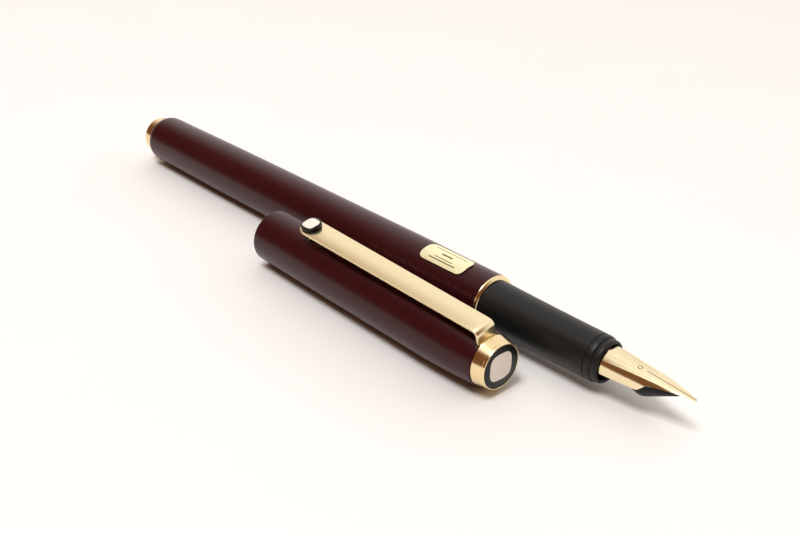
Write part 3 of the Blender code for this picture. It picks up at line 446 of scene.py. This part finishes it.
def makeGrip():
    look = gripLook
    tenonBack, front = span("grip_section", penPlace)
    back = span("barrel_trim_ring", penPlace)[1] + look["gap"]
    tenon = reach("grip_section", penPlace, tenonBack, tenonBack)
    nibBore = reach("grip_section", penPlace, front, front)[0]
    webBack, webFront = back + look["webBack"], back + look["webFront"]
    bead = front - look["bead"]
    outline = [(front, look["front"] - look["drop"] - 0.1 * mm)]
    for i in range(1, 9):
        turn = pi / 2 * i / 8
        outline.append((front - look["bead"] * (1 - cos(turn)),
                        look["front"] - look["drop"] * (1 - sin(turn)) ** 1.3))
    sunk = look["front"] - look["grooveDepth"]
    outline += [(bead - 0.03 * mm, sunk), (bead - look["groove"] + 0.03 * mm, sunk),
                (bead - look["groove"], look["front"])]
    for i in range(1, 15):
        share = i / 15
        along = bead - look["groove"] - (bead - look["groove"] - back) * share
        radius = look["front"] + 0.02 * mm
        eased = max(share - 0.12, 0) / 0.88
        radius += (look["back"] - radius) * (0.45 * eased + 0.55 * eased ** 2.2)
        outline.append((along, radius))
    outline += [(back + 0.08 * mm, look["back"]), (back, look["back"] - 0.05 * mm),
                (back, tenon[1]), (tenonBack, tenon[1]), (tenonBack, tenon[0]),
                (webBack, tenon[0]), (webBack, look["webHole"]), (webFront, look["webHole"]),
                (webFront, nibBore), (front, nibBore)]
    grip = latheTurned("matte_grip", outline, penPlace)
    place(grip, "grip", "matte_black", matteResin, "grip_section")

    back, lip = span("nib_housing", penPlace)
    bore = reach("nib_housing", penPlace, back, back)[0]
    wide = reach("nib_housing", penPlace)[1]
    look = housingLook
    rim = wide - look["round"]
    outline = [(lip - 0.1 * mm, bore + 0.12 * mm), (lip - 0.02 * mm, bore + 0.2 * mm)]
    outline += arcPoints(lip - look["round"], rim, look["round"], 0.12, pi / 2, 9)
    outline += [(lip - look["lip"], wide), (lip - look["lip"], look["shank"]),
                (back, look["shank"]),
                (back, bore), (lip - 0.4 * mm, bore)]
    housing = latheTurned("nib_housing_lip", outline, penPlace)
    place(housing, "grip", "matte_black", matteResin, "nib_housing")


nibLook = {"topRadius": 2.6 * mm, "tipRadius": 1.3 * mm, "hidden": 3 * mm, "wingLength": 5.65 * mm,
           "shoulderLength": 2 * mm, "wingAngle": 86, "shoulderAngle": 50, "tipAngle": 7,
           "flatTop": 0.7, "flatSide": 0.1, "thickness": 0.25 * mm, "slitStart": 6.3 * mm,
           "slit": 0.055 * mm, "hole": 0.3 * mm, "holeAt": 5.2 * mm}


def nibAngle(out, exposed):
    look = nibLook
    shoulder = look["wingLength"] + look["shoulderLength"]
    wide = radians(look["shoulderAngle"])
    tine = max(wide * (exposed - out) / (exposed - shoulder), 0.0) ** 0.7 * wide ** 0.3
    share = ease((out - look["wingLength"]) / look["shoulderLength"])
    angle = radians(look["wingAngle"])
    return max(angle + (min(tine, wide) - angle) * share, radians(look["tipAngle"]))


def foldAngle(out):
    # how far from the crest the flank folds down, from the lip to the point
    steps = [(-9, 44), (0, 43.7), (5.5, 33), (8.3, 27), (11.2, 17), (12.5, 9.6), (14.5, 3.2)]
    for (a, first), (b, second) in zip(steps, steps[1:]):
        if out <= b * mm:
            return radians(first + (second - first) * (out / mm - a) / (b - a))
    return radians(steps[-1][1])


def makeNib():
    look = nibLook
    lip = span("nib_housing", penPlace)[1]
    tip = span("nib", penPlace)[1]
    exposed = tip - lip
    facing = rollOf("nib", penPlace, tip - 3 * mm)

    def shape(u, v):
        out = -look["hidden"] + (exposed + look["hidden"]) * (u + 1) / 2
        share = min(max(out / exposed, 0), 1)
        top = look["topRadius"] - (look["topRadius"] - look["tipRadius"]) * share ** 1.3
        edge = nibAngle(out, exposed)
        fold = min(foldAngle(out), edge * 0.8)
        part = abs(v)
        if part < 0.5:
            angle, low, high, flat = fold * part * 2, 0, fold, look["flatTop"]
        else:
            angle, low, high = fold + (edge - fold) * (part * 2 - 1), fold, edge
            flat = look["flatSide"]
        chord = cos((high - low) / 2) / cos(angle - (low + high) / 2)
        radius = top * (1 + (chord - 1) * flat)
        angle = facing + (angle if v > 0 else -angle)
        return Vector((radius * cos(angle), radius * sin(angle), lip + out))

    nib = gridShaped("gold_nib", 150, 48, shape, penPlace, soft=60)
    giveWall(nib, look["thickness"], 0.04 * mm, 22)
    finish, tree, shader, spot, tones, level = surfaced(
        "polished_gold_nib", {"Metallic": 1.0}, "#faecc6", "#f6e4b8", 2 * mm, 0.2 * mm,
        0.0015 * mm, (0.12, 0.2))
    # lines are cut in by hand: a border along each flank, a ring at the breather and the slit
    laid = addNode(tree, "ShaderNodeMapping",
                   {"vector_type": "TEXTURE", "Location": (0, penPoint.y, penPoint.z),
                    "Rotation": (facing, 0, 0)}, {"Vector": spot.outputs["Object"]})
    flat = addNode(tree, "ShaderNodeSeparateXYZ", None, {0: laid.outputs["Vector"]})
    slit = join(tree, lineMask(tree, flat.outputs[1], 0, look["slit"]),
                between(tree, flat.outputs[0], lip + look["slitStart"], tip), "MULTIPLY")
    across = join(tree, flat.outputs[1], flat.outputs[1], "MULTIPLY")
    away = addNode(tree, "ShaderNodeMath", {"operation": "SUBTRACT", 1: lip + look["holeAt"]},
                   {0: flat.outputs[0]}).outputs[0]
    away = join(tree, join(tree, away, away, "MULTIPLY"), across, "ADD")
    away = addNode(tree, "ShaderNodeMath", {"operation": "SQRT"}, {0: away}).outputs[0]
    ring = lineMask(tree, away, look["hole"], 0.06 * mm)
    parts = addNode(tree, "ShaderNodeSeparateXYZ", None, {0: spot.outputs["UV"]})
    spread = addNode(tree, "ShaderNodeMath", {"operation": "SUBTRACT", 1: 0.5},
                     {0: parts.outputs[1]}).outputs[0]
    spread = addNode(tree, "ShaderNodeMath", {"operation": "ABSOLUTE"}, {0: spread}).outputs[0]
    borders = None
    for middle, halfWidth in ((0.2, 0.008), (0.175, 0.005), (0.1, 0.005)):
        line = lineMask(tree, spread, middle, halfWidth)
        borders = line if borders is None else join(tree, borders, line, "MAXIMUM")
    borders = join(tree, borders, between(tree, parts.outputs[0], 0.22, 0.62), "MULTIPLY")
    faint = addNode(tree, "ShaderNodeMath", {"operation": "MULTIPLY", 1: 0.4}, {0: borders})
    cut = join(tree, join(tree, slit, ring, "MAXIMUM"), faint.outputs[0], "MAXIMUM")
    markDark(tree, shader, tones, cut, "#4a2f10")
    place(nib, "grip", "gilt", finish, "nib")


feedLook = {"depth": 1.76 * mm, "keel": 2.75 * mm, "ramp": 1.8 * mm, "keelAt": 5.7 * mm,
            "rise": 3.35 * mm, "clearance": 0.37 * mm}


def makeFeed():
    look = feedLook
    back, front = span("feed", penPlace)
    lip = span("nib_housing", penPlace)[1]
    tip = span("nib", penPlace)[1]
    exposed = tip - lip
    facing = rollOf("nib", penPlace, tip - 3 * mm)
    keelAt = lip + look["keelAt"]

    def shape(u, v):
        along = back + (front - back) * (u + 1) / 2
        share = min(max((along - lip) / exposed, 0), 1)
        top = nibLook["topRadius"] - (nibLook["topRadius"] - nibLook["tipRadius"]) * share ** 1.3
        top -= look["clearance"]
        if along < keelAt:
            depth = look["depth"] + (look["keel"] - look["depth"]) * ease(
                (along - keelAt + look["ramp"]) / look["ramp"])
        else:
            depth = look["keel"] - look["rise"] * ((along - keelAt) / (front - keelAt)) ** 1.1
        half = (top + depth) / 2
        angle = min(nibAngle(along - lip, exposed), pi / 2)
        side = min(top * 0.9, max(top * sin(angle) * 0.88, 0.1 * mm))
        turn = pi * v
        low = max(0, -cos(turn))
        height = top - half + (half - 0.02 * mm) * cos(turn)
        width = side * sin(turn) * (1 - 0.25 * low * low)
        here = Matrix.Rotation(facing, 3, "Z") @ Vector((height, width, 0))
        return Vector((here.x, here.y, along))

    feed = gridShaped("ink_feed", 70, 40, shape, penPlace, closed=True, soft=40)
    # the feed takes the resin whose darker colour is painted shade
    place(feed, "grip", "matte_black", feedResinPaintedShade, "feed")


# cap and crown
capLook = {"mouth": 4.45 * mm, "crownEnd": 4.06 * mm, "edge": 0.3 * mm, "endRound": 0.4 * mm,
           "endWall": 1.8 * mm, "seat": 3.86 * mm, "fullFrom": 0.3, "fullTo": 0.8,
           "notchLow": 3.2 * mm, "notchHalf": 1.775 * mm, "notchDepth": 0.55 * mm}


def cutWith(item, cutter):
    cut = item.modifiers.new("cut", "BOOLEAN")
    cut.object = cutter
    cut.operation = "DIFFERENCE"
    bpy.context.view_layer.objects.active = item
    bpy.ops.object.modifier_apply(modifier=cut.name)
    bpy.data.objects.remove(cutter, do_unlink=True)
    nothingSelected()
    item.select_set(True)


def makeCap():
    look = capLook
    mouth, end = span("cap_tube", capPlace)
    full = reach("cap_tube", capPlace)[1] - 0.02 * mm
    bore = reach("cap_tube", capPlace, mouth, mouth)[0]
    hole = reach("cap_tube", capPlace, end, end)[0]
    length = end - mouth
    outline = [(end, 3.5 * mm), (end, look["seat"])]
    outline += [(end - look["endRound"] * (1 - cos(pi / 2 * i / 6)),
                 look["seat"] + (look["crownEnd"] - look["seat"]) * sin(pi / 2 * i / 6))
                for i in range(1, 7)]
    for i in range(1, 40):
        share = 1 - i / 40
        along = mouth + look["edge"] + (length - look["edge"] - look["endRound"]) * share
        if share > look["fullTo"]:
            into = (share - look["fullTo"]) / (1 - look["fullTo"])
            radius = full - (full - look["crownEnd"]) * into ** 1.8
        else:
            radius = look["mouth"] + (full - look["mouth"]) * ease(share / look["fullFrom"])
        outline.append((along, radius))
    low = look["mouth"] - look["edge"]
    outline += [(mouth + look["edge"] * (1 - sin(pi / 2 * i / 6)),
                 low + look["edge"] * cos(pi / 2 * i / 6)) for i in range(7)]
    outline += [(mouth, bore), (end - look["endWall"], bore), (end - look["endWall"], hole),
                (end, hole)]
    tube = latheTurned("lacquered_cap", outline, capPlace)
    wide = full * 1.3
    nothingSelected()
    bpy.ops.mesh.primitive_cube_add(size=1)
    slot = bpy.context.object
    slot.scale = (wide - look["notchLow"], 2 * look["notchHalf"], 2 * look["notchDepth"])
    slot.location = ((wide + look["notchLow"]) / 2, 0, end)
    settle(slot, "clip_notch", capPlace @ Matrix.Rotation(clipRoll, 4, "Z"))
    cutWith(tube, slot)
    bpy.ops.object.shade_smooth_by_angle(angle=radians(28))
    place(tube, "cap", "burgundy_lacquer", burgundyLacquer, "cap_tube")


crownLook = {"rim": 0.18 * mm, "floor": 0.6 * mm, "rimRadius": 3.48 * mm, "backRadius": 3.88 * mm,
             "line": 0.34 * mm, "lineDepth": 0.03 * mm, "proud": 0.03 * mm, "square": 3.2,
             "inlayEdge": 0.08 * mm}


def pillowInlay(name, radius, low, high, place):
    # a square with bowed sides whose upper edge is rounded over
    edge = crownLook["inlayEdge"]
    profile = [(low, 0), (high - edge, 0)]
    profile += [(high - edge * (1 - sin(pi / 2 * i / 4)), edge * (1 - cos(pi / 2 * i / 4)))
                for i in range(1, 5)]

    def shape(u, v):
        along, inset = profile[round((u + 1) / 2 * (len(profile) - 1))]
        turn = pi * v
        bow = abs(cos(turn)) ** crownLook["square"] + abs(sin(turn)) ** crownLook["square"]
        wide = radius / bow ** (1 / crownLook["square"]) - inset
        return Vector((wide * cos(turn), wide * sin(turn), along))

    return gridShaped(name, len(profile) - 1, 64, shape, place, closed=True, soft=50)


def roundDisc(low, high, radius, edge=0.05 * mm):
    # outline of a solid disc whose upper edge is eased
    outline = [(low, 0), (low, radius), (high - edge, radius)]
    outline += [(high - edge * (1 - sin(pi / 2 * i / 4)), radius - edge * (1 - cos(pi / 2 * i / 4)))
                for i in range(1, 5)]
    return outline + [(high, 0)]


def makeCrown():
    look = crownLook
    back, front = span("crown_ring", capPlace)
    hole = reach("crown_ring", capPlace)[0]
    inner = look["rimRadius"] - look["rim"]
    slope = (look["backRadius"] - look["rimRadius"]) / (front - back - 0.08 * mm)

    def wide(along):
        return look["rimRadius"] + slope * (front - 0.08 * mm - along)

    line = front - look["line"]
    outline = [(front, inner + 0.03 * mm), (front, look["rimRadius"] - 0.08 * mm),
               (front - 0.03 * mm, look["rimRadius"] - 0.025 * mm),
               (front - 0.08 * mm, wide(front - 0.08 * mm)),
               (line, wide(line)), (line - 0.03 * mm, wide(line) - look["lineDepth"]),
               (line - 0.07 * mm, wide(line) - look["lineDepth"]),
               (line - 0.1 * mm, wide(line - 0.1 * mm))]
    outline += [(along, wide(along))
                for along in (back + 1.2 * mm, back + 0.7 * mm, back + 0.06 * mm)]
    outline += [(back, look["backRadius"] - 0.05 * mm), (back, hole), (back + look["floor"], hole),
                (back + look["floor"], inner), (front - 0.03 * mm, inner)]
    ring = latheTurned("gilt_crown_ring", outline, capPlace, 128)
    place(ring, "cap", "gilt", goldPlate, "crown_ring")

    low, high = span("crown_disc", capPlace)
    disc = latheTurned("crown_disc_turned",
                       roundDisc(low, high, reach("crown_disc", capPlace)[1]), capPlace, 96)
    place(disc, "cap", "gloss_black", glossResin, "crown_disc")
    inlay = pillowInlay("crown_inlay_pillow", inlayRadius("crown_inlay", capPlace),
                        high - 0.2 * mm, high + look["proud"], capPlace)
    place(inlay, "cap", "ivory", ivoryResin, "crown_inlay")


def inlayRadius(name, place):
    # half the distance across the inlay's flats
    return max(abs(point.y) for point in cadPoints(name, place))


# clip
clipLook = {"tipHeight": 6.68 * mm, "rootHeight": 5.95 * mm, "thickness": 0.45 * mm,
            "bend": 1 * mm, "tabLow": 3.3 * mm, "tipHalf": 1.9 * mm, "rootHalf": 1.675 * mm,
            "chamfer": 0.07 * mm, "groove": 0.04 * mm, "grooveAt": (0.42, 0.47, 0.59, 0.64),
            "stem": 0.5 * mm, "stemGap": 0.03 * mm, "buttonThick": 0.6 * mm, "padRound": 0.4 * mm}


def clipStations(start, tab):
    # stations from the free end over the bend to the foot: along, height, facing, half width
    look = clipLook
    slope = (look["tipHeight"] - look["rootHeight"]) / (tab - start)
    lean = pi / 2 - atan2(slope, 1)

    def height(along):
        return look["tipHeight"] - slope * (along - start)

    stations = []
    for i in range(15):
        turn = max(pi / 2 * i / 14, 0.03)
        along = start + look["tipHalf"] * (1 - cos(turn))
        stations.append((along, height(along), lean, look["tipHalf"] * sin(turn)))
    bendAt = tab - look["bend"]
    first = start + look["tipHalf"]
    for i in range(1, 25):
        share = i / 24
        along = first + (bendAt + look["bend"] * cos(lean) - first) * share
        half = look["tipHalf"] + (look["rootHalf"] - look["tipHalf"]) * share
        stations.append((along, height(along), lean, half))
    centre = height(bendAt) - look["bend"]
    for i in range(1, 11):
        turn = lean * (1 - i / 10)
        stations.append((bendAt + look["bend"] * cos(turn), centre + look["bend"] * sin(turn),
                         turn, look["rootHalf"]))
    for i in range(1, 4):
        stations.append((tab, centre + (look["tabLow"] - centre) * i / 3, 0.0, look["rootHalf"]))
    return stations


def makeClip():
    look = clipLook
    start, tab = span("clip", capPlace)
    stations = clipStations(start + 0.01 * mm, tab)
    thick, chamfer = look["thickness"], look["chamfer"]
    # half of the clip's section: how far in from its side, and how deep
    top, floorTop, floorEnd, end = (part * thick for part in look["grooveAt"])
    section = [(0, 0), (chamfer, 0), (0.3 * chamfer, 0.3 * chamfer), (0, chamfer), (0, top),
               (look["groove"], floorTop), (look["groove"], floorEnd), (0, end),
               (0, thick - chamfer), (chamfer, thick), (0, thick)]
    count = len(section) - 1

    def shape(u, v):
        along, height, facing, half = stations[round((u + 1) / 2 * (len(stations) - 1))]
        step = round((v + 1) * count)
        side = 1
        if step > count:
            step, side = 2 * count - step, -1
        inset, depth = section[step]
        out = 0 if step in (0, count) else max(half - inset, 0.02 * mm)
        return Vector((height - depth * sin(facing), side * out, along - depth * cos(facing)))

    clipPlace = capPlace @ Matrix.Rotation(clipRoll, 4, "Z")
    clip = gridShaped("gilt_clip", len(stations) - 1, 2 * count, shape, clipPlace, closed=True,
                      soft=30)
    nothingSelected()
    bpy.ops.mesh.primitive_cylinder_add(vertices=32, radius=look["stem"] + look["stemGap"],
                                        depth=4 * mm)
    hole = settle(bpy.context.object, "stem_hole",
                  buttonPlace @ Matrix.Translation((0, 0, look["tipHeight"])))
    cutWith(clip, hole)
    bpy.ops.object.shade_smooth_by_angle(angle=radians(30))
    place(clip, "clip", "gilt", goldBrushed, "clip")


def makeButton():
    look = clipLook
    face = span("clip_button", buttonPlace)[1]
    foot = span("clip_button", buttonPlace)[0]
    wide = reach("clip_button", buttonPlace)[1]
    seat = face - look["buttonThick"]
    proud = crownLook["proud"]
    outline = [(foot, 0), (foot, look["stem"]), (seat, look["stem"])]
    outline += roundDisc(seat, face - proud, wide, 0.12 * mm)[1:]
    button = latheTurned("clip_button_turned", outline, buttonPlace, 80)
    place(button, "clip", "gloss_black", glossResin, "clip_button")
    inlay = pillowInlay("clip_inlay_pillow", inlayRadius("clip_button_inlay", buttonPlace),
                        face - 0.2 * mm, face, buttonPlace)
    place(inlay, "clip", "ivory", ivoryResin, "clip_button_inlay")

    foot, top = span("clip_pad", buttonPlace)
    wide = reach("clip_pad", buttonPlace)[1]
    bore = look["stem"] + look["stemGap"]
    outline = [(foot, 0), (foot, 0.5 * wide)]
    outline += [(foot + look["padRound"] * (1 - cos(pi / 2 * i / 6)),
                 wide * (0.6 + 0.4 * sin(pi / 2 * i / 6))) for i in range(7)]
    outline += [(top - 0.03 * mm, wide), (top, wide - 0.03 * mm), (top, bore),
                (foot + 0.2 * mm, bore), (foot + 0.2 * mm, 0)]
    pad = latheTurned("gilt_clip_pad", outline, buttonPlace, 64, 40)
    place(pad, "clip", "gilt", goldPlate, "clip_pad")


clipRoll = rollOf("clip_button", capPlace)
buttonLow, buttonHigh = span("clip_button", capPlace)
buttonUp = capPlace.to_3x3() @ Vector((cos(clipRoll), sin(clipRoll), 0))
buttonPlace = Matrix((capWay, buttonUp.cross(capWay), buttonUp)).transposed().to_4x4()
buttonPlace.translation = capPlace @ Vector((0, 0, (buttonLow + buttonHigh) / 2))

makeBarrel()
makeTrimRing()
makeLabel()
print("barrel, ring and label made")
makeGrip()
makeNib()
makeFeed()
print("grip, nib and feed made")
makeCap()
makeCrown()
makeClip()
makeButton()
print("cap, crown and clip made")

# the inner pieces carry over and take the finishes of their slots
# the matte black slot takes the feed's resin, darkened with painted shade
innerFinishes = {"steel": turnedSteel, "brass": turnedBrass, "matte_black": feedResinPaintedShade,
                 "gloss_black": glossResin, "clear": clearStyrene}
for name, node in frame["nodes"].items():
    for slotAt, old in enumerate(node.data.materials):
        if old and old.name in innerFinishes:
            finish = milkySilicone if name == "converter_piston_seal" else innerFinishes[old.name]
            node.data.materials[slotAt] = finish
print("inner pieces finished")

# floor, light and camera
lightLook = {"way": (0.065, -0.336, 0.94), "distance": 1.1, "size": 0.34, "power": 7.2,
             "bright": 1.02, "dark": 0.3, "brightWay": (-0.17, 0.98, 0), "wall": (-0.15, 0.55),
             "ceiling": (0.7, 0.86),
             "brightTint": "#fffaf7", "darkTint": "#c98a5c"}


floorSize = 40  # metres, so that its edge stays out of low views


def makeFloor():
    nothingSelected()
    bpy.ops.mesh.primitive_plane_add(size=floorSize, location=(0, 0, cadBox[0].z))
    floor = bpy.context.object
    floor.name = "floor"
    finish = surfaced("coated_white_board", {"IOR": 1.45}, "#f2f0ee", "#eeecea", 30 * mm,
                      0.6 * mm, 0.004 * mm, (0.55, 0.65))[0]
    floor.data.materials.append(finish)


def makeLight():
    look = lightLook
    way = Vector(look["way"]).normalized()
    nothingSelected()
    bpy.ops.object.light_add(type="AREA", location=way * look["distance"])
    light = bpy.context.object
    light.data.size = look["size"]
    light.data.energy = look["power"]
    light.rotation_euler = way.to_track_quat("Z", "Y").to_euler()

    world = bpy.data.worlds.new("studio")
    bpy.context.scene.world = world
    world.use_nodes = True
    tree = world.node_tree
    back = tree.nodes["Background"]
    spot = addNode(tree, "ShaderNodeTexCoord")
    facing = addNode(tree, "ShaderNodeVectorMath",
                     {"operation": "DOT_PRODUCT", 1: look["brightWay"]},
                     {0: spot.outputs["Generated"]})
    wall = addNode(tree, "ShaderNodeMapRange",
                   {"interpolation_type": "SMOOTHSTEP", "From Min": look["wall"][0],
                    "From Max": look["wall"][1]},
                   {"Value": facing.outputs["Value"]})
    parts = addNode(tree, "ShaderNodeSeparateXYZ", None, {0: spot.outputs["Generated"]})
    ceiling = addNode(tree, "ShaderNodeMapRange",
                      {"interpolation_type": "SMOOTHSTEP", "From Min": look["ceiling"][0],
                       "From Max": look["ceiling"][1]},
                      {"Value": parts.outputs[2]})
    lit = join(tree, wall.outputs["Result"], ceiling.outputs["Result"], "MAXIMUM")
    tint = addNode(tree, "ShaderNodeMix", {"data_type": "RGBA", 6: colour(look["darkTint"]),
                                           7: colour(look["brightTint"])}, {0: lit})
    strength = addNode(tree, "ShaderNodeMapRange",
                       {"To Min": look["dark"], "To Max": look["bright"]}, {"Value": lit})
    tree.links.new(tint.outputs[2], back.inputs["Color"])
    tree.links.new(strength.outputs["Result"], back.inputs["Strength"])


# the camera looks down and across the pen from in front of the nib
cameraLook = {"turn": 137.02, "down": 28.467, "roll": 0.275, "lens": 49.46, "clip": 0.005,
              "fromBack": 0.18587, "fromAxis": 0.10658, "height": 0.08744}


def makeCamera():
    look = cameraLook
    turn, down, roll = (radians(look[key]) for key in ("turn", "down", "roll"))
    ahead = Vector((cos(down) * cos(turn), cos(down) * sin(turn), -sin(down)))
    right = Vector((sin(turn), -cos(turn), 0))
    up = right.cross(ahead)
    tilted = Matrix((right * cos(roll) + up * sin(roll), up * cos(roll) - right * sin(roll),
                     -ahead))
    nothingSelected()
    bpy.ops.object.camera_add()
    camera = bpy.context.object
    camera.matrix_world = tilted.transposed().to_4x4()
    camera.location = (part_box("barrel_end_cap")[0].x + look["fromBack"],
                       penPoint.y - look["fromAxis"], look["height"])
    camera.data.lens = look["lens"]
    camera.data.clip_start = look["clip"]
    bpy.context.scene.camera = camera


makeFloor()
makeLight()
makeCamera()
bpy.context.scene.view_settings.view_transform = "Standard"
print("floor, light and camera made")
